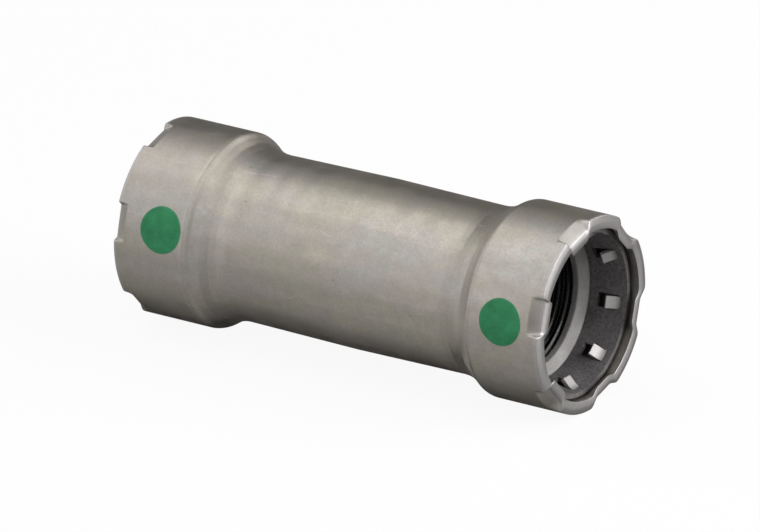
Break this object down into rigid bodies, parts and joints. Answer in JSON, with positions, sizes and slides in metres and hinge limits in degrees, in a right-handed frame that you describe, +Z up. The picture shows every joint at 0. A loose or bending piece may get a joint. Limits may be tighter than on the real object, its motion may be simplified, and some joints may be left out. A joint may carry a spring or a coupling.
{
  "type": "pipe press coupling",
  "caption": "Straight press coupling for steel pipe: a tube with a dented press collar at each end, holding a toothed grip ring, a separator ring and a rubber seal.",
  "frame": {"origin": "middle of the coupling, on the pipe axis", "axes": "+X along the pipe axis towards the right end (the near, open end in the picture), +Z up, the two green marks face -Y"},
  "size_m": [0.0852, 0.0341, 0.034],
  "materials": {
    "coated_steel": "satin zinc-nickel coating, warm grey",
    "hardened_steel": "dark hardened steel with bright tooth faces",
    "bright_steel": "bright rolled steel",
    "seal_rubber": "glossy lubricated black rubber",
    "green_paint": "matte green marking paint"
  },
  "bodies": {
    "fitting": {"fitting_body": "coated_steel", "separator_ring_right": "bright_steel", "separator_ring_left": "bright_steel", "sealing_ring_right": "seal_rubber", "sealing_ring_left": "seal_rubber", "green_mark_right": "green_paint", "green_mark_left": "green_paint"},
    "right_grip": {"grip_ring_right": "hardened_steel"},
    "left_grip": {"grip_ring_left": "hardened_steel"}
  },
  "joints": [
    {"name": "right_grip_turn", "type": "hinge", "parent": "fitting", "child": "right_grip", "pos_m": [0.0375, 0, 0], "axis": [1, 0, 0], "continuous": true},
    {"name": "left_grip_turn", "type": "hinge", "parent": "fitting", "child": "left_grip", "pos_m": [-0.0375, 0, 0], "axis": [1, 0, 0], "continuous": true}
  ]
}
